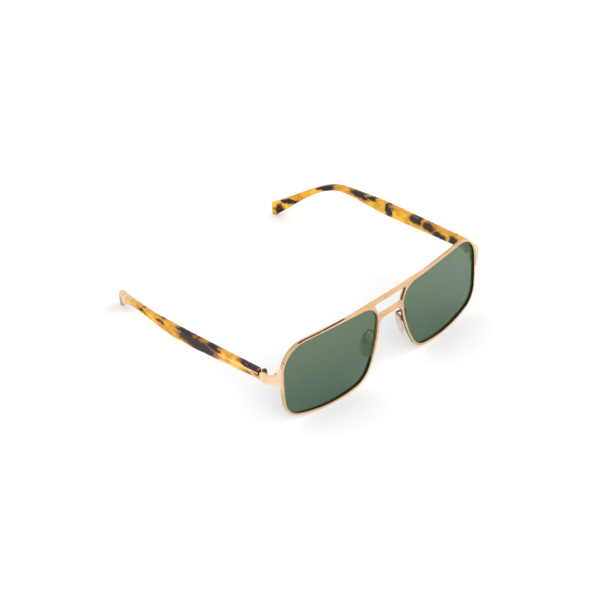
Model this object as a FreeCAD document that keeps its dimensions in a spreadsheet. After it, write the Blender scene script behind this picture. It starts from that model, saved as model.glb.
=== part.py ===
import FreeCAD, Part
import math
import os
import Sketcher
from FreeCAD import Placement, Rotation, Vector

# Squared double-bridge aviator sunglasses, open, resting on the rims and the temple tips.
# Millimetres. +X is to the wearer's left, -Y is the way the wearer looks, +Z is up.
# Every front piece is drawn upright in the front's own frame, whose origin is the middle of
# the front surface on the lenses' centre line, and then leans back by front_tilt.
# Every temple piece is drawn along +Y from the middle of the temple's front end.
# The wearer's left is drawn, and the right is its mirror image in the plane x = 0.

SIZES = (
    # the front's shape and stance
    ("wrap_radius", 362.0),
    ("front_tilt", -2.6),
    ("front_rise", 23.5),
    ("centre_shift", -66.65),
    ("plate_depth", 1.0),
    ("front_block", 30.0),
    ("shell_half", 45.0),
    # lens opening and the rim's outside: sharp corners, side bulges and corner radii
    ("open_nose_top_x", 8.9),
    ("open_nose_top_z", 19.1),
    ("open_nose_low_x", 19.0),
    ("open_nose_low_z", -19.7),
    ("open_outer_low_x", 65.7),
    ("open_outer_low_z", -17.5),
    ("open_outer_top_x", 65.9),
    ("open_outer_top_z", 19.7),
    ("open_nose_bulge", 3.2),
    ("open_low_bulge", 3.8),
    ("open_outer_bulge", 1.45),
    ("open_top_bulge", 0.5),
    ("open_nose_top_round", 9.5),
    ("open_nose_low_round", 12.0),
    ("open_outer_low_round", 10.5),
    ("open_outer_top_round", 13.5),
    ("rim_nose_top_x", 7.5),
    ("rim_nose_top_z", 19.8),
    ("rim_nose_low_x", 18.3),
    ("rim_nose_low_z", -20.6),
    ("rim_outer_low_x", 66.6),
    ("rim_outer_low_z", -18.2),
    ("rim_outer_top_x", 66.9),
    ("rim_outer_top_z", 20.6),
    ("rim_nose_bulge", 3.5),
    ("rim_low_bulge", 3.9),
    ("rim_outer_bulge", 1.55),
    ("rim_top_bulge", 0.3),
    ("rim_nose_top_round", 5.0),
    ("rim_nose_low_round", 13.0),
    ("rim_outer_low_round", 11.5),
    ("rim_outer_top_round", 14.5),
    # brow bar, bridge and window
    ("brow_top", 22.0),
    ("brow_low", 17.0),
    ("brow_middle_x", 14.0),
    ("brow_shoulder_x", 30.0),
    ("brow_shoulder_z", 21.2),
    ("brow_end_x", 52.0),
    ("brow_end_z", 20.4),
    ("bridge_low", 9.8),
    ("bridge_half", 11.5),
    ("bridge_foot_x", 8.0),
    ("bridge_foot_z", 6.8),
    ("bridge_corner_x", 6.0),
    ("window_top", 19.4),
    ("window_low", 12.7),
    ("window_top_half", 11.2),
    ("window_low_half", 8.0),
    ("window_round", 0.7),
    # eyewire behind the plate, and the lens in its groove
    ("wire_outside", 0.6),
    ("wire_inside", 0.05),
    ("wire_back", 1.95),
    ("groove_reach", 0.35),
    ("groove_front", 1.25),
    ("groove_back", 1.7),
    ("lens_front", 1.05),
    ("lens_back", 2.6),
    ("rib_reach", 0.3),
    ("rib_front", 1.29),
    ("rib_back", 1.66),
    ("wire_split", 0.4),
    # endpiece strip
    ("strip_depth", 1.4),
    ("strip_root_x", 67.5),
    ("strip_front_y", 6.35),
    ("strip_outer_x", 74.15),
    ("strip_end_y", 15.6),
    ("strip_bend", 6.0),
    ("flare_x", 69.0),
    ("flare_top", 10.2),
    ("flare_low", -0.6),
    ("strip_neck_x", 70.4),
    ("strip_neck_top", 7.5),
    ("strip_neck_low", 1.6),
    ("strip_top", 6.9),
    ("strip_low", 2.6),
    # rim lock
    ("lock_x", 68.6),
    ("lock_y", 9.0),
    ("lock_half_x", 1.2),
    ("lock_half_y", 1.25),
    ("lock_z", 3.7),
    ("lock_tall", 2.4),
    ("lock_gap", 0.4),
    ("lock_screw", 0.5),
    ("lock_side", 0.3),
    # fold hinge
    ("hinge_x", 71.15),
    ("hinge_y", 15.0),
    ("hinge_z", 4.75),
    ("barrel_radius", 1.25),
    ("barrel_half", 2.3),
    ("knuckle_half", 0.8),
    ("knuckle_gap", 0.08),
    ("pin_radius", 0.6),
    ("pin_clearance", 0.03),
    ("screw_head", 1.05),
    ("head_tall", 0.45),
    ("leaf_thick", 0.9),
    ("leaf_front_y", 12.3),
    ("leaf_relief", 1.4),
    # temple: its place, the three runs of its line, and its section along that line
    ("temple_x", 72.85),
    ("temple_y", 16.0),
    ("temple_z", 5.35),
    ("temple_pitch", -2.26),
    ("temple_yaw", -0.43),
    ("shaft_reach", 60.2),
    ("shaft_round", 250.0),
    ("wrist_toe", 2.6),
    ("wrist_reach", 29.9),
    ("wrist_rise", 2.85),
    ("wrist_round", 30.0),
    ("tip_toe", 17.2),
    ("tip_reach", 27.8),
    ("tip_drop", 17.79),
    ("front_at", 0.0),
    ("front_tall", 5.6),
    ("front_wide", 2.6),
    ("neck_at", 12.0),
    ("neck_tall", 5.8),
    ("neck_wide", 2.6),
    ("waist_at", 26.0),
    ("waist_tall", 6.3),
    ("waist_wide", 2.6),
    ("belly_at", 46.0),
    ("belly_tall", 6.9),
    ("belly_wide", 2.6),
    ("slim_at", 63.0),
    ("slim_tall", 6.2),
    ("slim_wide", 2.6),
    ("wrist_at", 75.0),
    ("wrist_tall", 3.9),
    ("wrist_wide", 2.7),
    ("bend_at", 87.0),
    ("bend_tall", 2.8),
    ("bend_wide", 2.9),
    ("turn_at", 101.0),
    ("turn_tall", 3.1),
    ("turn_wide", 2.9),
    ("tip_at", 115.0),
    ("tip_tall", 4.9),
    ("tip_wide", 2.9),
    ("end_at", 126.6),
    ("end_tall", 7.2),
    ("end_wide", 2.7),
    ("end_crown", 3.2),
    ("end_nose", 0.8),
    ("core_radius", 0.55),
    ("core_clearance", 0.03),
    ("core_short", 5.0),
    ("leaf_back", 8.0),
    ("inlay_start", 0.5),
    ("inlay_length", 26.5),
    ("inlay_tall", 0.55),
    ("inlay_high", 0.65),
    ("inlay_low", -2.2),
    ("inlay_depth", 0.45),
    ("inlay_proud", 0.05),
    # nose pads
    ("pad_x", 11.9),
    ("pad_y", 5.6),
    ("pad_z", -5.6),
    ("pad_tall", 6.4),
    ("pad_wide", 3.3),
    ("pad_thick", 1.15),
    ("pad_flare", 14.0),
    ("pad_splay", 24.0),
    ("arm_radius", 0.5),
    ("arm_root_x", 9.3),
    ("arm_root_z", 1.7),
    ("arm_rise_y", 5.8),
    ("arm_top_z", 2.4),
    ("arm_bend", 0.85),
    ("boss_reach", 2.9),
    ("boss_half", 0.55),
    ("boss_up", 2.6),
    ("pad_pin", 0.3),
    ("box_front", 1.32),
    ("box_wall", 0.45),
    ("box_half", 1.0),
    ("box_tall", 1.2),
    ("box_play", 0.1),
)

SHEET = "dims"


def make_sheet(doc):
    """Put every driving size in the spreadsheet under its alias."""
    sheet = doc.addObject("Spreadsheet::Sheet", SHEET)
    for row, (alias, value) in enumerate(SIZES, 1):
        sheet.set("A%d" % row, alias)
        sheet.set("B%d" % row, str(value))
        sheet.setAlias("B%d" % row, alias)
    doc.recompute()
    return sheet


def cell(expression):
    """Write the aliases in an expression as references to the spreadsheet."""
    words = expression.split()
    names = [alias for alias, value in SIZES]
    return " ".join(SHEET + "." + word if word in names else word for word in words)


def bind(thing, **sizes):
    """Tie properties of an object to expressions of the spreadsheet's aliases."""
    for name, expression in sizes.items():
        thing.setExpression(name.replace("__", "."), cell(expression))


def origin_plane(body, role):
    """Find one of a body's own origin planes."""
    return [feature for feature in body.Origin.OriginFeatures if feature.Role == role][0]


def new_body(doc, name):
    """Start a PartDesign body with the label that names its file."""
    body = doc.addObject("PartDesign::Body", name)
    body.Label = name
    return body


def new_sketch(body, role, name, offset=Placement()):
    """Attach an empty sketch to an origin plane of its body."""
    sketch = body.newObject("Sketcher::SketchObject", name)
    sketch.AttachmentSupport = (origin_plane(body, role), [""])
    sketch.MapMode = "FlatFace"
    sketch.AttachmentOffset = offset
    return sketch


def number(doc, expression):
    """Work out an expression of the spreadsheet's aliases."""
    return float(doc.getObject(SHEET).evalExpression(cell(expression)))


def hold_point(sketch, geometry, point, across, up):
    """Hold one point of a sketch at the distances from the origin that the sheet gives."""
    for kind, expression in (("DistanceX", across), ("DistanceY", up)):
        value = number(sketch.Document, expression)
        datum = sketch.addConstraint(Sketcher.Constraint(kind, -1, 1, geometry, point, value))
        name = "%s_%d" % (kind.lower(), geometry)
        sketch.renameConstraint(datum, name)
        sketch.setExpression("Constraints." + name, cell(expression))


def draw_polygon(sketch, corners):
    """Draw a closed polygon whose corners are pairs of expressions."""
    places = [[number(sketch.Document, part) for part in corner] for corner in corners]
    count = len(corners)
    for index in range(count):
        start = Vector(*places[index], 0)
        end = Vector(*places[(index + 1) % count], 0)
        sketch.addGeometry(Part.LineSegment(start, end), False)
    for index in range(count):
        following = (index + 1) % count
        sketch.addConstraint(Sketcher.Constraint("Coincident", index, 2, following, 1))
    for index, corner in enumerate(corners):
        hold_point(sketch, index, 1, *corner)


def draw_circle(sketch, across, up, radius):
    """Draw a circle whose centre and radius are expressions."""
    doc = sketch.Document
    centre = Vector(number(doc, across), number(doc, up), 0)
    circle = Part.Circle(centre, Vector(0, 0, 1), number(doc, radius))
    index = sketch.addGeometry(circle, False)
    hold_point(sketch, index, 3, across, up)
    datum = sketch.addConstraint(Sketcher.Constraint("Radius", index, circle.Radius))
    name = "radius_%d" % index
    sketch.renameConstraint(datum, name)
    sketch.setExpression("Constraints." + name, cell(radius))


def pad_between(body, sketch, name, low, high, cut=False):
    """Pad or pocket a sketch from one distance to another along the sketch's normal."""
    kind = "PartDesign::Pocket" if cut else "PartDesign::Pad"
    feature = body.newObject(kind, name)
    feature.Profile = sketch
    bind(feature, Length=high + " - ( " + low + " )")
    sketch.setExpression("AttachmentOffset.Base.z", cell(low))
    feature.Reversed = cut
    sketch.Visibility = False
    return feature


def edges_along(shape, direction, keep):
    """Name the straight edges along a direction whose middles pass a test."""
    names = []
    for index, edge in enumerate(shape.Edges, 1):
        if not isinstance(edge.Curve, Part.Line):
            continue
        if abs(edge.Curve.Direction.dot(direction)) > 0.999 and keep(edge.CenterOfMass):
            names.append("Edge%d" % index)
    return names


def round_edges(body, name, radius, direction, keep):
    """Fillet the straight edges of a body that run one way."""
    body.Document.recompute()
    tip = body.Tip
    fillet = body.newObject("PartDesign::Fillet", name)
    fillet.Base = (tip, edges_along(tip.Shape, direction, keep))
    bind(fillet, Radius=radius)
    return fillet


FRONT_VIEW = "XZ_Plane"
PLAN_VIEW = "XY_Plane"


def front_slab(doc, name, corners, radius=None):
    """Make a thick slab of a front-view polygon, for fusing to or cutting from the plate."""
    body = new_body(doc, name)
    sketch = new_sketch(body, FRONT_VIEW, name + "_outline")
    draw_polygon(sketch, corners)
    pad_between(body, sketch, name + "_pad", "- front_block", "front_block")
    if radius:
        round_edges(body, name + "_corners", radius, Vector(0, 1, 0), lambda place: True)
    return body


def corner_centre(before, after, radius, corner):
    """Find the centre of the arc that touches two circles from inside, near their corner."""
    reach = before.Radius - radius
    across = after.Center - before.Center
    span = across.Length
    along = (reach ** 2 - (after.Radius - radius) ** 2 + span ** 2) / (2 * span)
    rise = math.sqrt(reach ** 2 - along ** 2)
    forward = across * (1 / span)
    sideways = Vector(0, 1, 0).cross(forward) * rise
    foot = before.Center + forward * along
    return min((foot + sideways, foot - sideways), key=lambda place: place.distanceToPoint(corner))


def touch_point(circle, centre):
    """Find where a circle is touched by an arc inside it with the given centre."""
    return circle.Center + (centre - circle.Center).normalize() * circle.Radius


def arc_about(centre, start, end):
    """Draw the shorter arc between two points at the same distance from a centre."""
    halfway = ((start + end) * 0.5 - centre).normalize()
    return Part.Arc(start, centre + halfway * start.distanceToPoint(centre), end).toShape()


def rounded_outline(doc, role):
    """Draw a four-sided outline: bulging sides with a tangent arc between each pair."""
    spots = [role + spot for spot in ("_nose_top", "_nose_low", "_outer_low", "_outer_top")]
    bulges = [role + bulge for bulge in ("_nose_bulge", "_low_bulge", "_outer_bulge", "_top_bulge")]
    corners = [Vector(number(doc, spot + "_x"), 0, number(doc, spot + "_z")) for spot in spots]
    sides = []
    for start, end, bulge in zip(corners, corners[1:] + corners[:1], bulges):
        inward = (end - start).cross(Vector(0, 1, 0)).normalize()
        sides.append(Part.Circle(start, (start + end) * 0.5 - inward * number(doc, bulge), end))
    rounds = []
    for index, (spot, corner) in enumerate(zip(spots, corners)):
        before = sides[index - 1]
        after = sides[index]
        centre = corner_centre(before, after, number(doc, spot + "_round"), corner)
        rounds.append((centre, touch_point(before, centre), touch_point(after, centre)))
    edges = []
    for side, (centre, entry, leave), (_, following, _) in zip(sides, rounds, rounds[1:] + rounds[:1]):
        edges.append(arc_about(centre, entry, leave))
        edges.append(arc_about(side.Center, leave, following))
    outline = doc.addObject("Part::Feature", role + "_outline")
    outline.Shape = Part.Wire(edges)
    return outline


def prism(doc, name, outline, direction):
    """Extrude an outline both ways along a direction."""
    solid = doc.addObject("Part::Extrusion", name)
    solid.Base = outline
    solid.DirMode = "Custom"
    solid.Dir = direction
    solid.Solid = True
    bind(solid, LengthFwd="front_block", LengthRev="front_block")
    return solid


def offset_prism(doc, name, outline, offset):
    """Extrude an outline, moved outwards by an offset, through the whole front."""
    wire = outline
    if offset:
        wire = doc.addObject("Part::Offset2D", name + "_outline")
        wire.Source = outline
        bind(wire, Value=offset)
    return prism(doc, name, wire, Vector(0, 1, 0))


def boolean(doc, kind, name, base, tool):
    """Make a Part boolean of two objects."""
    result = doc.addObject("Part::" + kind, name)
    result.Base = base
    result.Tool = tool
    return result


def fuse_all(doc, name, things):
    """Fuse a list of objects."""
    result = doc.addObject("Part::MultiFuse", name)
    result.Shapes = things
    return result


def mirrored(doc, name, source):
    """Make the wearer's right-hand twin of a left-hand object."""
    twin = doc.addObject("Part::Mirroring", name)
    twin.Source = source
    twin.Normal = Vector(1, 0, 0)
    twin.Base = Vector(0, 0, 0)
    twin.Label = name
    return twin


def wrap_shell(doc, name, front, back):
    """Make the curved layer between two depths behind the front surface."""
    skins = []
    for side, depth in (("outer", front), ("inner", back)):
        skin = doc.addObject("Part::Cylinder", "%s_%s" % (name, side))
        bind(skin, Radius="wrap_radius - " + depth, Height="2 * shell_half")
        bind(skin, Placement__Base__y="wrap_radius", Placement__Base__z="- shell_half")
        skins.append(skin)
    return boolean(doc, "Cut", name, *skins)


def layer(doc, name, form, front, back):
    """Keep the part of a form between two depths behind the front surface."""
    return boolean(doc, "Common", name, form, wrap_shell(doc, name + "_layer", front, back))


def front_plate(doc, opening, opening_twin, rim, rim_twin):
    """The stamped sheet: two rims, the brow bar and the lower bridge, one piece."""
    brow = front_slab(doc, "brow_block", (
        ("- brow_end_x", "brow_end_z"),
        ("- brow_end_x", "brow_low"),
        ("brow_end_x", "brow_low"),
        ("brow_end_x", "brow_end_z"),
        ("brow_shoulder_x", "brow_shoulder_z"),
        ("brow_middle_x", "brow_top"),
        ("- brow_middle_x", "brow_top"),
        ("- brow_shoulder_x", "brow_shoulder_z"),
    ))
    bridge = front_slab(doc, "bridge_block", (
        ("- bridge_half", "bridge_foot_z"),
        ("- bridge_foot_x", "bridge_foot_z"),
        ("- bridge_corner_x", "bridge_low"),
        ("bridge_corner_x", "bridge_low"),
        ("bridge_foot_x", "bridge_foot_z"),
        ("bridge_half", "bridge_foot_z"),
        ("bridge_half", "brow_top"),
        ("- bridge_half", "brow_top"),
    ))
    window = front_slab(doc, "window_block", (
        ("- window_low_half", "window_low"),
        ("window_low_half", "window_low"),
        ("window_top_half", "window_top"),
        ("- window_top_half", "window_top"),
    ), radius="window_round")
    sheet_form = fuse_all(doc, "sheet_form", [rim, rim_twin, brow, bridge])
    openings = fuse_all(doc, "sheet_openings", [opening, opening_twin, window])
    cut_sheet = boolean(doc, "Cut", "cut_sheet", sheet_form, openings)
    plate = layer(doc, "front_plate", cut_sheet, "0", "plate_depth")
    return plate


def eyewire(doc, outside):
    """The grooved wire behind the plate that holds a lens, split at its lock."""
    inside = offset_prism(doc, "wire_inner_form", doc.open_outline, "wire_inside")
    groove = offset_prism(doc, "groove_form", doc.open_outline, "groove_reach")
    band = layer(doc, "wire_band", outside, "plate_depth", "wire_back")
    ring = boolean(doc, "Cut", "wire_ring", band, inside)
    channel = layer(doc, "wire_channel", groove, "groove_front", "groove_back")
    grooved = boolean(doc, "Cut", "grooved_ring", ring, channel)
    gap = new_body(doc, "wire_gap")
    sketch = new_sketch(gap, FRONT_VIEW, "wire_gap_outline")
    draw_polygon(sketch, (
        ("open_outer_low_x", "lock_z - wire_split / 2"),
        ("strip_outer_x", "lock_z - wire_split / 2"),
        ("strip_outer_x", "lock_z + wire_split / 2"),
        ("open_outer_low_x", "lock_z + wire_split / 2"),
    ))
    pad_between(gap, sketch, "wire_gap_pad", "- front_block", "front_block")
    return boolean(doc, "Cut", "left_eyewire", grooved, gap)


def lens(doc):
    """The lens: a curved sheet with a rib round its edge for the eyewire's groove."""
    rib_form = offset_prism(doc, "rib_form", doc.open_outline, "rib_reach")
    face_form = offset_prism(doc, "face_form", doc.open_outline, None)
    sheet = layer(doc, "lens_sheet", face_form, "lens_front", "lens_back")
    rib = layer(doc, "lens_rib", rib_form, "rib_front", "rib_back")
    return fuse_all(doc, "left_lens", [sheet, rib])


def endpiece(doc, rim):
    """The strip that flares from the rim, sweeps round to the side and carries the hinge."""
    strip = new_body(doc, "strip_plan")
    sketch = new_sketch(strip, PLAN_VIEW, "strip_plan_outline")
    inner = "strip_outer_x - strip_depth"
    draw_polygon(sketch, (
        ("strip_root_x", "strip_front_y"),
        ("strip_outer_x", "strip_front_y"),
        ("strip_outer_x", "strip_end_y"),
        (inner, "strip_end_y"),
        (inner, "strip_front_y + strip_depth"),
        ("strip_root_x", "strip_front_y + strip_depth"),
    ))
    pad_between(strip, sketch, "strip_plan_pad", "- front_block", "front_block")
    upright = Vector(0, 0, 1)
    for name, corner_x, corner_y, radius in (
            ("strip_outer_bend", "strip_outer_x", "strip_front_y", "strip_bend"),
            ("strip_inner_bend", inner, "strip_front_y + strip_depth", "strip_bend - strip_depth")):
        corner = Vector(number(doc, corner_x), number(doc, corner_y), 0)
        round_edges(strip, name, radius, upright,
                    lambda place: math.hypot(place.x - corner.x, place.y - corner.y) < 0.1)
    face = front_slab(doc, "strip_face", (
        ("strip_root_x", "flare_low"),
        ("flare_x", "flare_low"),
        ("strip_neck_x", "strip_neck_low"),
        ("strip_outer_x", "strip_low"),
        ("strip_outer_x", "strip_top"),
        ("strip_neck_x", "strip_neck_top"),
        ("flare_x", "flare_top"),
        ("strip_root_x", "flare_top"),
    ))
    shaped = boolean(doc, "Common", "shaped_strip", strip, face)
    return boolean(doc, "Cut", "left_endpiece", shaped, rim)


def disc(body, name, radius, low, high, cut=False, across="hinge_x", up="hinge_y"):
    """Pad or pocket an upright cylinder, by default on the fold axis."""
    sketch = new_sketch(body, PLAN_VIEW, name + "_outline")
    draw_circle(sketch, across, up, radius)
    return pad_between(body, sketch, name, low, high, cut)


def block(body, name, corners, low, high, cut=False):
    """Pad or pocket a plan-view polygon between two heights."""
    sketch = new_sketch(body, PLAN_VIEW, name + "_outline")
    draw_polygon(sketch, corners)
    return pad_between(body, sketch, name, low, high, cut)


def box_corners(low_x, high_x, low_y, high_y):
    """List the corners of a plan-view rectangle."""
    return ((low_x, low_y), (high_x, low_y), (high_x, high_y), (low_x, high_y))


def hinge_front_leaf(doc):
    """The leaf soldered inside the endpiece, with the upper and lower knuckles."""
    body = new_body(doc, "left_hinge_front_leaf")
    low = "hinge_z - barrel_half"
    high = "hinge_z + barrel_half"
    inner = "strip_outer_x - strip_depth"
    block(body, "front_leaf", box_corners(inner + " - leaf_thick", inner, "leaf_front_y",
                                          "hinge_y - 0.1"), low, high)
    disc(body, "front_barrel", "barrel_radius", low, high)
    disc(body, "knuckle_room", "leaf_relief", "hinge_z - knuckle_half - knuckle_gap",
         "hinge_z + knuckle_half + knuckle_gap", cut=True)
    disc(body, "front_pin_hole", "pin_radius", low, high, cut=True)
    return body


def hinge_temple_leaf(doc):
    """The leaf sunk in the temple, with an arm out to the middle knuckle."""
    body = new_body(doc, "left_hinge_temple_leaf")
    low = "hinge_z - knuckle_half"
    high = "hinge_z + knuckle_half"
    tail = "temple_y + leaf_back"
    disc(body, "temple_knuckle", "barrel_radius", low, high)
    block(body, "temple_arm", box_corners("hinge_x - 0.1", "hinge_x + leaf_thick", "hinge_y",
                                          "hinge_y + 2 * leaf_relief"), low, high)
    block(body, "heel", box_corners("hinge_x", "hinge_x + 2 * leaf_thick",
                                    "hinge_y + leaf_relief + 0.3", "hinge_y + 2 * leaf_relief"),
          low, high)
    block(body, "temple_leaf", box_corners("hinge_x + leaf_thick", "hinge_x + 2 * leaf_thick",
                                           "hinge_y + leaf_relief + 0.3", tail),
          "hinge_z - 2 * knuckle_half", "hinge_z + 2 * knuckle_half")
    disc(body, "temple_pin_hole", "pin_radius + pin_clearance", low, high, cut=True)
    return body


def leaf_recess(doc):
    """The room that the temple's acetate leaves for the hinge."""
    body = new_body(doc, "leaf_recess")
    low = "hinge_z - knuckle_half - knuckle_gap"
    high = "hinge_z + knuckle_half + knuckle_gap"
    tail = "temple_y + leaf_back"
    disc(body, "barrel_room", "leaf_relief + 0.1", "hinge_z - 3 * barrel_half",
         "hinge_z + 3 * barrel_half")
    block(body, "arm_room", box_corners("hinge_x - 2", "hinge_x + 2 * leaf_thick + 0.05", "hinge_y",
                                        "hinge_y + 2 * leaf_relief + 0.05"), low, high)
    block(body, "leaf_room", box_corners("hinge_x + leaf_thick - 0.05",
                                         "hinge_x + 2 * leaf_thick + 0.05", "hinge_y",
                                         tail + " + 0.05"),
          "hinge_z - 2 * knuckle_half - 0.05", "hinge_z + 2 * knuckle_half + 0.05")
    return body


def hinge_screw(doc):
    """The slotted screw that is the fold axis's pin."""
    body = new_body(doc, "left_hinge_screw")
    top = "hinge_z + barrel_half"
    disc(body, "hinge_shank", "pin_radius", "hinge_z - barrel_half", top)
    disc(body, "hinge_head", "screw_head", top, top + " + head_tall")
    slot = box_corners("hinge_x - 2", "hinge_x + 2", "hinge_y - 0.15", "hinge_y + 0.15")
    block(body, "hinge_slot", slot, top + " + head_tall / 2", top + " + head_tall", cut=True)
    return body


def rim_lock(doc, name, low, high, outside):
    """Half of the split block that closes the eyewire, drilled for its screw."""
    body = new_body(doc, name + "_block")
    corners = box_corners("lock_x - 2 * lock_half_x", "lock_x + lock_half_x",
                          "lock_y - lock_half_y", "lock_y + lock_half_y")
    block(body, name + "_pad", corners, low, high)
    disc(body, name + "_hole", "lock_screw", low, high, True, "lock_x + lock_side", "lock_y")
    clear = boolean(doc, "Cut", name + "_beside_wire", body, outside)
    return boolean(doc, "Cut", name, clear, doc.shaped_strip)


def lock_screw(doc):
    """The short screw that draws the rim lock's halves together."""
    body = new_body(doc, "left_rim_lock_screw")
    top = "lock_z + lock_gap / 2 + lock_tall"
    centre = ("lock_x + lock_side", "lock_y")
    disc(body, "lock_shank", "lock_screw", "lock_z - lock_gap / 2 - lock_tall", top, False, *centre)
    disc(body, "lock_head", "1.6 * lock_screw", top, top + " + head_tall", False, *centre)
    slot = box_corners("lock_x - 2", "lock_x + 2", "lock_y - 0.12", "lock_y + 0.12")
    block(body, "lock_slot", slot, top + " + head_tall / 2", top + " + head_tall", cut=True)
    return body


def rounded_path(points, radii):
    """Join points with straight runs and one tangent arc of its own radius at each corner."""
    edges = []
    start = points[0]
    for before, corner, after, radius in zip(points, points[1:], points[2:], radii):
        back = (before - corner).normalize()
        on = (after - corner).normalize()
        turn = math.pi - back.getAngle(on)
        reach = radius * math.tan(turn / 2)
        entry = corner + back * reach
        leave = corner + on * reach
        inward = (back + on).normalize()
        middle = corner + inward * (radius / math.cos(turn / 2) - radius)
        edges.append(Part.LineSegment(start, entry).toShape())
        edges.append(Part.Arc(entry, middle, leave).toShape())
        start = leave
    edges.append(Part.LineSegment(start, points[-1]).toShape())
    return Part.Wire(edges)


def temple_points(doc):
    """List the ends and corners of the temple's line in its own frame: shaft, wrist and tip."""
    points = [Vector(0, 0, 0), Vector(0, number(doc, "shaft_reach"), 0)]
    for run, lift in (("wrist", "wrist_rise"), ("tip", "- tip_drop")):
        step = Vector(-number(doc, run + "_toe"), number(doc, run + "_reach"), number(doc, lift))
        points.append(points[-1] + step)
    return points


def temple_radii(doc):
    """List the radii of the temple line's two corners."""
    return [number(doc, "shaft_round"), number(doc, "wrist_round")]


def spot_along(path, distance):
    """Find the point and the direction at a distance along a path."""
    for edge in path.Edges:
        if distance <= edge.Length or edge.isSame(path.Edges[-1]):
            spot = edge.getParameterByLength(min(distance, edge.Length))
            return edge.valueAt(spot), edge.tangentAt(spot).normalize()
        distance -= edge.Length


TEMPLE_SECTIONS = ("front", "neck", "waist", "belly", "slim", "wrist", "bend", "turn", "tip", "end")


def smooth_edge(points):
    """Draw one smooth curve through a list of points."""
    curve = Part.BSplineCurve()
    curve.interpolate(points)
    return curve.toShape()


def temple_view(doc, name, stations, size, flat, across):
    """Cut the temple's blank in one view: smooth edges either side of its line, a round end."""
    edges = ([], [])
    for part, (place, along) in zip(TEMPLE_SECTIONS, stations):
        sideways = across.cross(along).normalize() * (number(doc, part + size) / 2)
        for edge, reach in zip(edges, (sideways, -sideways)):
            spot = place + reach
            edge.append(spot - across * spot.dot(across))
    first, second = edges
    crown = stations[-1][1] * number(doc, flat)
    last = (first[-1] + second[-1]) * 0.5 + crown - across * crown.dot(across)
    outline = doc.addObject("Part::Feature", name + "_outline")
    outline.Shape = Part.Wire([
        smooth_edge(first),
        Part.Arc(first[-1], last, second[-1]).toShape(),
        smooth_edge(second[::-1]),
        Part.LineSegment(second[0], first[0]).toShape(),
    ])
    return prism(doc, name, outline, across)


def temple_blank(doc):
    """The acetate before its rooms are cut: what its side view and its plan have in common."""
    path = rounded_path(temple_points(doc), temple_radii(doc))
    stations = [spot_along(path, number(doc, part + "_at")) for part in TEMPLE_SECTIONS]
    side = temple_view(doc, "temple_side", stations, "_tall", "end_crown", Vector(1, 0, 0))
    plan = temple_view(doc, "temple_plan", stations, "_wide", "end_nose", Vector(0, 0, 1))
    return boolean(doc, "Common", "temple_blank", side, plan)


def round_wire(doc, name, points, bends, radius):
    """Sweep a circle along a path of straight runs and arcs."""
    path = doc.addObject("Part::Feature", name + "_path")
    path.Shape = rounded_path(points, bends)
    along = (points[1] - points[0]).normalize()
    ring = doc.addObject("Part::Circle", name + "_ring")
    bind(ring, Radius=radius)
    ring.Placement = Placement(points[0], Rotation(Vector(0, 0, 1), along))
    sweep = doc.addObject("Part::Sweep", name)
    sweep.Sections = [ring]
    sweep.Spine = (path, ["Edge%d" % index for index in range(1, len(path.Shape.Edges) + 1)])
    sweep.Solid = True
    sweep.Frenet = False
    return sweep


def temple(doc, blank, core_room, recess, grooves):
    """Cut the acetate's core channel, hinge recess and inlay grooves."""
    rooms = fuse_all(doc, "temple_rooms", [core_room, recess, grooves])
    return boolean(doc, "Cut", "left_temple", blank, rooms)


def temple_inlay(doc, name):
    """The two bright strips let into the temple's outer face."""
    body = new_body(doc, name)
    for part in ("high", "low"):
        strip = "inlay_" + part
        corners = box_corners("front_wide / 2 + inlay_proud - inlay_depth",
                              "front_wide / 2 + inlay_proud",
                              "inlay_start", "inlay_start + inlay_length")
        block(body, name + "_" + part, corners, strip + " - inlay_tall / 2",
              strip + " + inlay_tall / 2")
    return body


def nose_pad(doc):
    """The clear oval pad with the drilled boss that its box grips."""
    oval = doc.addObject("Part::Ellipsoid", "pad_oval")
    bind(oval, Radius1="pad_thick", Radius2="pad_tall", Radius3="pad_wide")
    oval.Placement = Placement(Vector(0, 0, 0), Rotation(Vector(0, 0, 1), Vector(1, 0, 0)))
    boss = new_body(doc, "pad_boss")
    sketch = new_sketch(boss, PLAN_VIEW, "boss_outline")
    draw_polygon(sketch, box_corners("0", "boss_reach", "- boss_half", "boss_half"))
    pad_between(boss, sketch, "boss_pad", "boss_up - boss_half", "boss_up + boss_half")
    whole = fuse_all(doc, "undrilled_pad", [oval, boss])
    return boolean(doc, "Cut", "left_nose_pad", whole, cross_pin(doc, "pad_hole", "0.04"))


def cross_pin(doc, name, clearance):
    """A thin rod across the pad box, on the axis that the pad rocks about."""
    body = new_body(doc, name)
    sketch = new_sketch(body, FRONT_VIEW, name + "_outline")
    draw_circle(sketch, "boss_reach - boss_half", "boss_up", "pad_pin + " + clearance)
    pad_between(body, sketch, name + "_rod", "- box_half", "box_half")
    return body


def pad_screw(doc):
    """The tiny screw through the pad box, its head against the box's front wall."""
    body = cross_pin(doc, "left_pad_screw", "0")
    sketch = new_sketch(body, FRONT_VIEW, "pad_screw_outline")
    draw_circle(sketch, "boss_reach - boss_half", "boss_up", "1.7 * pad_pin")
    pad_between(body, sketch, "pad_screw_head", "box_half", "box_half + pad_pin")
    return body


def pad_box(doc):
    """The little tray on the arm's end that holds the pad's boss."""
    body = new_body(doc, "box_blank")
    low = "boss_up - box_tall"
    high = "boss_up + box_tall"
    room = "boss_half + box_play"
    block(body, "box_pad", box_corners("box_front", "boss_reach + box_wall",
                                       "- box_half", "box_half"), low, high)
    block(body, "box_room", box_corners("box_front - 1", "boss_reach + box_play",
                                        "- ( " + room + " )", room), low, high, cut=True)
    return boolean(doc, "Cut", "left_pad_box", body, cross_pin(doc, "box_hole", "0"))


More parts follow.
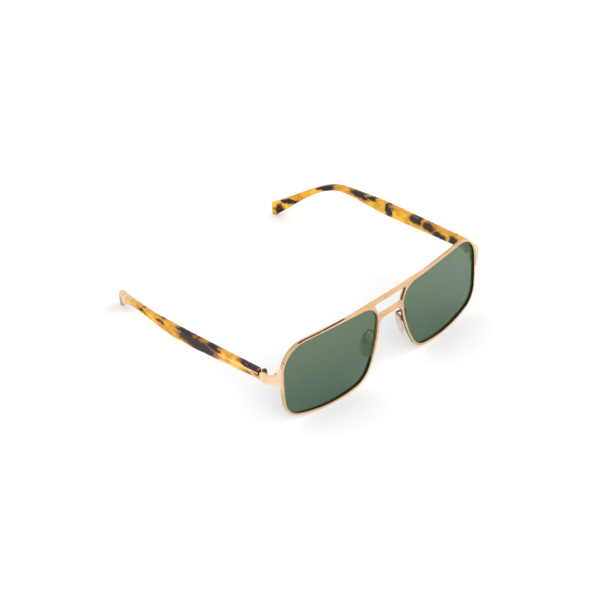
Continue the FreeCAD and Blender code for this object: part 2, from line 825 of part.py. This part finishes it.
def pad_arm(doc, pad_place):
    """The round wire that leaves the eyewire's back, turns over and runs down to the box."""
    foot = pad_place.multVec(Vector(number(doc, "boss_reach + box_wall + arm_radius + 0.02"), 0,
                                    number(doc, "boss_up - box_tall / 2")))
    points = [
        Vector(number(doc, "arm_root_x"), number(doc, "wire_back + 0.2"), number(doc, "arm_root_z")),
        Vector(number(doc, "arm_root_x"), number(doc, "arm_rise_y"), number(doc, "arm_top_z")),
        Vector(foot.x, foot.y, number(doc, "arm_top_z")),
        foot,
    ]
    return round_wire(doc, "left_pad_arm", points, [number(doc, "arm_bend")] * 2, "arm_radius")


def place_of(doc, *parts, turns=()):
    """Make a placement from three sizes and a list of (axis, size) turns in degrees."""
    rotation = Rotation()
    for axis, angle in turns:
        rotation = rotation * Rotation(axis, number(doc, angle))
    return Placement(Vector(*[number(doc, part) for part in parts]), rotation)


def left_parts(doc, rim, opening):
    """Build the wearer's left-hand pieces, each with its placement."""
    across = Vector(1, 0, 0)
    along = Vector(0, 1, 0)
    upward = Vector(0, 0, 1)
    front = place_of(doc, "0", "centre_shift", "front_rise", turns=((across, "front_tilt"),))
    arm = place_of(doc, "temple_x", "temple_y", "temple_z",
                   turns=((upward, "temple_yaw"), (across, "temple_pitch")))
    pad = place_of(doc, "pad_x", "pad_y", "pad_z",
                   turns=((upward, "- pad_splay"), (along, "- pad_flare")))
    outside = offset_prism(doc, "wire_outer_form", doc.open_outline, "wire_outside")
    lock_low = "lock_z - lock_gap / 2"
    lock_high = "lock_z + lock_gap / 2"
    in_front = [
        eyewire(doc, outside),
        lens(doc),
        endpiece(doc, rim),
        rim_lock(doc, "left_rim_lock_upper", lock_high, lock_high + " + lock_tall", outside),
        rim_lock(doc, "left_rim_lock_lower", lock_low + " - lock_tall", lock_low, outside),
        lock_screw(doc),
        hinge_front_leaf(doc),
        hinge_screw(doc),
        hinge_temple_leaf(doc),
        pad_arm(doc, pad),
    ]
    for piece in in_front:
        piece.Placement = front
    on_pad = [pad_box(doc), pad_screw(doc), nose_pad(doc)]
    for piece in on_pad:
        piece.Placement = front * pad
    recess = leaf_recess(doc)
    recess.Placement = front
    blank = temple_blank(doc)
    inlay = temple_inlay(doc, "left_temple_inlay")
    points = temple_points(doc)
    start = Vector(0, number(doc, "leaf_back + 0.2"), 0)
    stop = points[-1] + (points[-2] - points[-1]).normalize() * number(doc, "core_short")
    line = [start] + points[1:-1] + [stop]
    core = round_wire(doc, "left_temple_core", line, temple_radii(doc), "core_radius")
    room = round_wire(doc, "core_room", line, temple_radii(doc), "core_radius + core_clearance")
    for piece in (blank, inlay, core, room):
        piece.Placement = front * arm
    acetate = temple(doc, blank, room, recess, inlay)
    return in_front + on_pad + [acetate, inlay, core]


def check_and_write(doc, pieces):
    """Stop on any failed object or bad shape, then write one STEP file per piece."""
    for thing in doc.Objects:
        if "Invalid" in thing.State or "Error" in thing.State:
            raise RuntimeError("%s failed: %s" % (thing.Label, thing.State))
    for piece in pieces:
        if piece.Shape.isNull() or not piece.Shape.isValid():
            raise RuntimeError(piece.Label + " has a bad shape")
    os.makedirs("parts", exist_ok=True)
    for piece in pieces:
        piece.Shape.exportStep(os.path.join("parts", piece.Label + ".step"))


def main():
    doc = FreeCAD.newDocument("sunglasses")
    make_sheet(doc)
    opening = offset_prism(doc, "opening_form", rounded_outline(doc, "open"), None)
    rim = offset_prism(doc, "rim_form", rounded_outline(doc, "rim"), None)
    opening_twin = mirrored(doc, "opening_form_twin", opening)
    rim_twin = mirrored(doc, "rim_form_twin", rim)
    plate = front_plate(doc, opening, opening_twin, rim, rim_twin)
    plate.Placement = place_of(doc, "0", "centre_shift", "front_rise",
                               turns=((Vector(1, 0, 0), "front_tilt"),))
    pieces = [plate]
    for piece in left_parts(doc, rim, opening):
        piece.Label = piece.Name
        pieces.append(piece)
        pieces.append(mirrored(doc, piece.Name.replace("left_", "right_"), piece))
    doc.recompute()
    check_and_write(doc, pieces)


main()
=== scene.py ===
import math

import bpy
from mathutils import Matrix, Vector


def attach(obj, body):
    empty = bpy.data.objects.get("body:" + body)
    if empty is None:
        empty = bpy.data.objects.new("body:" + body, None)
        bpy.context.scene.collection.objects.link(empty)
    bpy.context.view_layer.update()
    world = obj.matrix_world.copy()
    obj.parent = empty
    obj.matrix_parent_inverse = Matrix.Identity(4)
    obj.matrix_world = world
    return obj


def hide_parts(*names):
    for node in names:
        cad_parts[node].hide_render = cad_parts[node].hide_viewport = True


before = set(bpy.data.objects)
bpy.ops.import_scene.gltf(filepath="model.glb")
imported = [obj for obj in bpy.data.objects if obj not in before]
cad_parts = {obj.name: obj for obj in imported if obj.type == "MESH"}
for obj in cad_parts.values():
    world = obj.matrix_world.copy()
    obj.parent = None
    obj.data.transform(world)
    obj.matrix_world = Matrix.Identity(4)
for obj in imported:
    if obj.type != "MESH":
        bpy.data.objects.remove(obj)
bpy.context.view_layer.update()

# Squared aviator sunglasses: satin copper front, grey-green lenses, tortoiseshell temples.
# Metres, in the CAD frame: +X to the wearer's left, -Y the way the wearer looks, +Z up.

MM = 0.001
SIDES = ("right", "left")

# The middle of the front surface stands this far from the frame's origin.
FRONT_TO_FRAME = Vector((0.0, -66.65 * MM, -1.2 * MM))

# Heights and places of the front sheet's cut edges that get painted shade and dark reflection, in mm.
SILL_TOP = 14.0
JAMBS = (5.0, 67.4)
BAND = (-58.0, -30.0)
BAND_LOW = 42.5
CORNER = (-69.0, -66.6)
CORNER_HEIGHT = (35.5, 39.5)
# Dark brown of the painted shade and dark reflection on those edges.
PAINTED_EDGE_SHADE = (0.060, 0.030, 0.014)

# The search for the nearest dark patch starts from this many patch lengths away.
FAR = 9.0

BRUSH_DEPTH = 0.02 * MM

# How finely the acetate is remeshed, and how many times it is smoothed.
VOXEL = 0.28 * MM
POLISHING = 7


# ---------------------------------------------------------------- shader helpers

def new_material(name):
    """Start a material and return it with its tree and its Principled shader."""
    material = bpy.data.materials.new(name)
    material.use_nodes = True
    tree = material.node_tree
    return material, tree, tree.nodes["Principled BSDF"]


def plug(tree, source, target):
    """Link an output to an input."""
    tree.links.new(source, target)


def setting(tree, socket, value):
    """Give an input either a link or a constant."""
    if isinstance(value, bpy.types.NodeSocket):
        plug(tree, value, socket)
    else:
        socket.default_value = value


def maths(tree, operation, first, second=0.0, third=0.0):
    """Do one sum on numbers."""
    node = tree.nodes.new("ShaderNodeMath")
    node.operation = operation
    for socket, value in zip(node.inputs, (first, second, third)):
        setting(tree, socket, value)
    return node.outputs[0]


def vector_maths(tree, operation, first, second=(0.0, 0.0, 0.0)):
    """Do one sum on vectors."""
    node = tree.nodes.new("ShaderNodeVectorMath")
    node.operation = operation
    setting(tree, node.inputs[0], first)
    setting(tree, node.inputs[1], second)
    return node.outputs["Value" if operation == "LENGTH" else "Vector"]


def millimetres(tree):
    """Give the place on the piece, in millimetres."""
    node = tree.nodes.new("ShaderNodeTexCoord")
    return scaled(tree, node.outputs["Object"], 1000.0)


def scaled(tree, vector, factor):
    """Scale a vector evenly, or along each axis by a tuple."""
    if not isinstance(factor, tuple):
        factor = (factor, factor, factor)
    return vector_maths(tree, "MULTIPLY", vector, factor)


def parts_of(tree, vector):
    """Split a vector."""
    node = tree.nodes.new("ShaderNodeSeparateXYZ")
    plug(tree, vector, node.inputs[0])
    return node.outputs


def noise(tree, vector, scale, detail=3.0, colour=False):
    """Sample a noise pattern."""
    node = tree.nodes.new("ShaderNodeTexNoise")
    plug(tree, vector, node.inputs["Vector"])
    node.inputs["Scale"].default_value = scale
    node.inputs["Detail"].default_value = detail
    return node.outputs["Color" if colour else "Fac"]


def blend(tree, factor, first, second):
    """Mix two colours."""
    node = tree.nodes.new("ShaderNodeMix")
    node.data_type = "RGBA"
    setting(tree, node.inputs[0], factor)
    for socket, value in ((node.inputs[6], first), (node.inputs[7], second)):
        if isinstance(value, bpy.types.NodeSocket):
            plug(tree, value, socket)
        else:
            socket.default_value = (*value, 1.0)
    return node.outputs[2]


def ramp(tree, value, low, high):
    """Turn a number into 0 below low and 1 above high, smoothly."""
    node = tree.nodes.new("ShaderNodeMapRange")
    node.interpolation_type = "SMOOTHSTEP"
    setting(tree, node.inputs["Value"], value)
    node.inputs["From Min"].default_value = low
    node.inputs["From Max"].default_value = high
    return node.outputs["Result"]


def bump(tree, shader, height, strength, distance):
    """Roughen a surface with a height pattern."""
    node = tree.nodes.new("ShaderNodeBump")
    node.inputs["Strength"].default_value = strength
    node.inputs["Distance"].default_value = distance
    plug(tree, height, node.inputs["Height"])
    plug(tree, node.outputs["Normal"], shader.inputs["Normal"])


# ---------------------------------------------------------------- materials

def satin_metal(name, light, deep, roughness, edges=None):
    """Plated metal, finely brushed along X, with painted shade in dark brown on the edges that a
    function picks.
    """
    material, tree, shader = new_material(name)
    place = millimetres(tree)
    brushed = noise(tree, scaled(tree, place, (0.35, 6.0, 9.0)), 1.0, 4.0)
    cloud = noise(tree, place, 0.12, 2.0)
    colour = blend(tree, ramp(tree, cloud, 0.35, 0.65), light, deep)
    if edges:
        colour = blend(tree, edges(tree, place), colour, PAINTED_EDGE_SHADE)
    plug(tree, colour, shader.inputs["Base Color"])
    shader.inputs["Metallic"].default_value = 1.0
    plug(tree, maths(tree, "MULTIPLY_ADD", brushed, 0.16, roughness - 0.08), shader.inputs["Roughness"])
    bump(tree, shader, brushed, 0.15, BRUSH_DEPTH)
    return material


def normal_parts(tree):
    """Give the surface's own direction, in the frame's axes."""
    geometry = tree.nodes.new("ShaderNodeNewGeometry")
    turn = tree.nodes.new("ShaderNodeVectorTransform")
    turn.vector_type = "NORMAL"
    turn.convert_from = "WORLD"
    turn.convert_to = "OBJECT"
    plug(tree, geometry.outputs["True Normal"], turn.inputs[0])
    return parts_of(tree, turn.outputs[0])


def between(tree, value, low, high):
    """Give 1 where a number is between two others."""
    return maths(tree, "MULTIPLY", maths(tree, "GREATER_THAN", value, low),
                 maths(tree, "LESS_THAN", value, high))


def front_edge_shade(tree, place):
    """Pick the cut edges that get painted shade and dark reflection: lens sills, the left half's jambs,
    a band and a corner.
    """
    spot = parts_of(tree, place)
    across = spot[0]
    up = spot[2]
    facing = normal_parts(tree)
    edge = maths(tree, "LESS_THAN", maths(tree, "ABSOLUTE", facing[1]), 0.6)
    upward = maths(tree, "GREATER_THAN", facing[2], 0.2)
    inward = maths(tree, "LESS_THAN", facing[0], -0.5)
    sill = maths(tree, "MULTIPLY", upward, maths(tree, "LESS_THAN", up, SILL_TOP))
    jamb = maths(tree, "MULTIPLY", inward, between(tree, across, *JAMBS))
    band = maths(tree, "MULTIPLY", between(tree, across, *BAND),
                 maths(tree, "MULTIPLY", upward, maths(tree, "GREATER_THAN", up, BAND_LOW)))
    corner = maths(tree, "MULTIPLY", between(tree, across, *CORNER),
                   between(tree, up, *CORNER_HEIGHT))
    patch = maths(tree, "MAXIMUM", maths(tree, "MAXIMUM", sill, jamb),
                  maths(tree, "MAXIMUM", band, corner))
    # Noise breaks up the painted shade along the edges.
    shade_breakup = ramp(tree, noise(tree, place, 0.9, 2.0), 0.22, 0.34)
    return maths(tree, "MULTIPLY", maths(tree, "MULTIPLY", edge, patch), shade_breakup)


def lens_glass():
    """Grey-green lens, a little darker towards the bottom."""
    material, tree, shader = new_material("grey_green_lens")
    place = millimetres(tree)
    up = parts_of(tree, place)[2]
    cloud = noise(tree, place, 0.03, 1.0)
    fall = maths(tree, "ADD", ramp(tree, up, 4.0, 46.0), maths(tree, "MULTIPLY_ADD", cloud, 0.3, -0.15))
    colour = blend(tree, fall, (0.012, 0.074, 0.024), (0.038, 0.100, 0.028))
    plug(tree, colour, shader.inputs["Base Color"])
    plug(tree, maths(tree, "MULTIPLY_ADD", cloud, 0.03, 0.03), shader.inputs["Roughness"])
    shader.inputs["Alpha"].default_value = 0.68
    shader.inputs["Specular IOR Level"].default_value = 0.3
    shader.inputs["IOR"].default_value = 1.5
    return material


def clear_pad():
    """Clear silicone with a warm copper tint that is a painted reflection of the metal beside it."""
    material, tree, shader = new_material("clear_pad")
    place = millimetres(tree)
    cloud = noise(tree, place, 0.3, 2.0)
    plug(tree, blend(tree, cloud, (0.72, 0.50, 0.30), (0.86, 0.68, 0.47)), shader.inputs["Base Color"])
    plug(tree, maths(tree, "MULTIPLY_ADD", cloud, 0.1, 0.12), shader.inputs["Roughness"])
    shader.inputs["Alpha"].default_value = 0.5
    shader.inputs["IOR"].default_value = 1.41
    return material


# Dark patches of the tortoiseshell: middle (y, z), then half length and half height, in mm.
PATCHES = {
    "right": (
        (-46.0, 29.6, 9.0, 1.5), (-45.0, 24.8, 8.0, 1.2), (-9.5, 24.6, 12.5, 3.3),
        (-20.0, 28.2, 5.0, 1.2), (-1.0, 27.2, 6.0, 1.3), (17.0, 24.6, 3.0, 1.2),
        (31.0, 23.0, 3.0, 0.8), (44.0, 14.0, 3.0, 1.6), (62.0, 4.2, 4.0, 3.0),
    ),
    "left": (
        (-42.5, 26.6, 3.0, 3.0), (-33.0, 25.0, 4.5, 2.4), (-26.0, 27.2, 3.5, 2.6),
        (-17.0, 27.0, 4.0, 2.4), (1.5, 24.2, 2.0, 4.0), (21.0, 24.4, 6.5, 2.0),
        (13.0, 25.6, 3.0, 1.2), (42.0, 21.6, 5.0, 2.4), (58.0, 9.6, 4.2, 1.5), (62.0, 3.6, 2.2, 3.8),
    ),
}


def tortoiseshell(side):
    """Amber acetate with dark brown patches that have reddish fringes."""
    material, tree, shader = new_material("tortoiseshell_" + side)
    place = millimetres(tree)
    stir = vector_maths(tree, "SUBTRACT", noise(tree, place, 0.28, 4.0, colour=True), (0.5, 0.5, 0.5))
    stirred = vector_maths(tree, "ADD", place, scaled(tree, stir, (0.0, 7.5, 4.5)))
    nearest = FAR
    for along, up, half_long, half_tall in PATCHES[side]:
        offset = vector_maths(tree, "SUBTRACT", stirred, (0.0, along, up))
        shrunk = scaled(tree, offset, (0.0, 1.0 / half_long, 1.0 / half_tall))
        nearest = maths(tree, "MINIMUM", vector_maths(tree, "LENGTH", shrunk), nearest)
    fleck = ramp(tree, noise(tree, place, 0.55, 3.0), 0.62, 0.70)
    dark = maths(tree, "SUBTRACT", 1.0, ramp(tree, nearest, 0.78, 1.05))
    fringe = maths(tree, "SUBTRACT", 1.0, ramp(tree, nearest, 0.95, 1.45))
    honey = blend(tree, ramp(tree, noise(tree, place, 0.16, 3.0), 0.35, 0.65),
                  (0.62, 0.27, 0.010), (0.92, 0.52, 0.035))
    # Upward faces get a deeper amber: painted shade on the tops of the temples.
    top_shade = maths(tree, "GREATER_THAN", normal_parts(tree)[2], 0.6)
    honey = blend(tree, maths(tree, "MULTIPLY", top_shade, 0.55), honey, (0.66, 0.27, 0.012))
    warm = blend(tree, maths(tree, "MAXIMUM", maths(tree, "MULTIPLY", fringe, 0.75),
                             maths(tree, "MULTIPLY", fleck, 0.5)), honey, (0.17, 0.040, 0.012))
    colour = blend(tree, dark, warm, (0.016, 0.009, 0.008))
    plug(tree, colour, shader.inputs["Base Color"])
    polish = noise(tree, place, 2.2, 2.0)
    plug(tree, maths(tree, "MULTIPLY_ADD", polish, 0.08, 0.14), shader.inputs["Roughness"])
    shader.inputs["IOR"].default_value = 1.5
    shader.inputs["Specular IOR Level"].default_value = 0.28
    return material


copper = satin_metal("satin_copper", (0.79, 0.51, 0.29), (0.72, 0.44, 0.235), 0.34, front_edge_shade)
dark_copper = satin_metal("dark_copper", (0.42, 0.25, 0.13), (0.30, 0.17, 0.085), 0.34)
champagne = satin_metal("champagne", (0.93, 0.72, 0.50), (0.86, 0.62, 0.40), 0.32)
hinge_metal = satin_metal("hinge_metal", (0.48, 0.27, 0.14), (0.36, 0.19, 0.09), 0.34)
eyewire_metal = satin_metal("eyewire_copper", (0.68, 0.43, 0.24), (0.58, 0.35, 0.185), 0.34)
arm_metal = satin_metal("arm_copper", (0.34, 0.21, 0.12), (0.25, 0.15, 0.085), 0.36)
screw_metal = satin_metal("screw_metal", (0.16, 0.10, 0.07), (0.10, 0.06, 0.04), 0.30)
inlay_metal = satin_metal("inlay_metal", (0.99, 0.80, 0.66), (0.94, 0.68, 0.54), 0.24)
core_metal = satin_metal("core_metal", (0.60, 0.57, 0.52), (0.50, 0.47, 0.43), 0.30)
glass = lens_glass()
pad_material = clear_pad()
shell = {side: tortoiseshell(side) for side in SIDES}

BY_KIND = {
    "eyewire": eyewire_metal, "lens": glass, "endpiece": champagne,
    "rim_lock_upper": dark_copper, "rim_lock_lower": dark_copper, "rim_lock_screw": screw_metal,
    "hinge_front_leaf": hinge_metal, "hinge_screw": screw_metal, "hinge_temple_leaf": hinge_metal,
    "pad_arm": arm_metal, "pad_box": arm_metal, "pad_screw": screw_metal,
    "nose_pad": pad_material, "temple_inlay": inlay_metal, "temple_core": core_metal,
}


def coat(thing, material):
    """Give a piece one material all over."""
    thing.data.materials.clear()
    thing.data.materials.append(material)


# ---------------------------------------------------------------- pieces

def polished_temple(side):
    """The acetate with its edges rounded by polishing, in place of the square-edged solid."""
    node = side + "_temple"
    piece = bpy.data.objects.new(side + "_acetate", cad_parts[node].data.copy())
    bpy.context.scene.collection.objects.link(piece)
    remesh = piece.modifiers.new("even_mesh", "REMESH")
    remesh.mode = "VOXEL"
    remesh.voxel_size = VOXEL
    remesh.use_smooth_shade = True
    smooth = piece.modifiers.new("polish", "SMOOTH")
    smooth.factor = 0.5
    smooth.iterations = POLISHING
    coat(piece, shell[side])
    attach(piece, side + "_temple")
    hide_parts(node)


coat(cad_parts["front_plate"], copper)
for side in SIDES:
    for kind, material in BY_KIND.items():
        coat(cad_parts[side + "_" + kind], material)
    polished_temple(side)


# ---------------------------------------------------------------- floor, light and camera

def studio_floor():
    """A wide pale floor."""
    bpy.ops.mesh.primitive_plane_add(size=6.0, location=(0.0, 0.0, -0.0002))
    floor = bpy.context.object
    floor.name = "floor"
    material, tree, shader = new_material("pale_floor")
    cloud = noise(tree, millimetres(tree), 0.002, 2.0)
    plug(tree, blend(tree, cloud, (0.97, 0.97, 0.97), (0.99, 0.99, 0.99)), shader.inputs["Base Color"])
    shader.inputs["Roughness"].default_value = 0.9
    shader.inputs["Specular IOR Level"].default_value = 0.1
    coat(floor, material)


def studio_sky():
    """White all round, a little darker overhead so that upward edges read against the floor."""
    world = bpy.data.worlds.new("studio")
    bpy.context.scene.world = world
    world.use_nodes = True
    tree = world.node_tree
    place = tree.nodes.new("ShaderNodeTexCoord").outputs["Generated"]
    up = parts_of(tree, place)[2]
    shade = ramp(tree, up, 0.55, 0.95)
    colour = blend(tree, shade, (1.0, 1.0, 1.0), (0.62, 0.62, 0.63))
    background = tree.nodes["Background"]
    plug(tree, colour, background.inputs["Color"])
    background.inputs["Strength"].default_value = 1.15


def soft_light(name, place, aim, size, power):
    """A square soft box pointed at a spot."""
    data = bpy.data.lights.new(name, "AREA")
    data.size = size
    data.energy = power
    lamp = bpy.data.objects.new(name, data)
    lamp.location = place
    lamp.rotation_euler = (Vector(aim) - Vector(place)).to_track_quat("-Z", "Y").to_euler()
    bpy.context.scene.collection.objects.link(lamp)


def camera_at(azimuth, elevation, distance, right_shift, up_shift, lens):
    """Look down the given direction from a distance, moved sideways and upwards."""
    turn = math.radians(azimuth)
    tilt = math.radians(elevation)
    back = Vector((math.sin(turn) * math.cos(tilt), -math.cos(turn) * math.cos(tilt), math.sin(tilt)))
    right = Vector((math.cos(turn), math.sin(turn), 0.0))
    up = back.cross(right)
    data = bpy.data.cameras.new("view")
    data.lens = lens
    data.sensor_width = 36.0
    data.clip_start = 0.05
    data.clip_end = 20.0
    camera = bpy.data.objects.new("view", data)
    place = back * distance + right * right_shift + up * up_shift + FRONT_TO_FRAME
    camera.matrix_world = Matrix((
        (right.x, up.x, back.x, place.x),
        (right.y, up.y, back.y, place.y),
        (right.z, up.z, back.z, place.z),
        (0.0, 0.0, 0.0, 1.0),
    ))
    bpy.context.scene.collection.objects.link(camera)
    bpy.context.scene.camera = camera


studio_floor()
studio_sky()
soft_light("key", place=(-1.1, -1.2, 1.5), aim=(0.0, 0.0, 0.02), size=1.6, power=10.0)
soft_light("fill", place=(1.3, -0.6, 0.9), aim=(0.0, 0.0, 0.02), size=1.0, power=5.0)
camera_at(azimuth=-45.9, elevation=36.5, distance=1.5, right_shift=-43.9 * MM,
          up_shift=33.9 * MM, lens=185.31)
bpy.context.scene.view_settings.view_transform = "Standard"
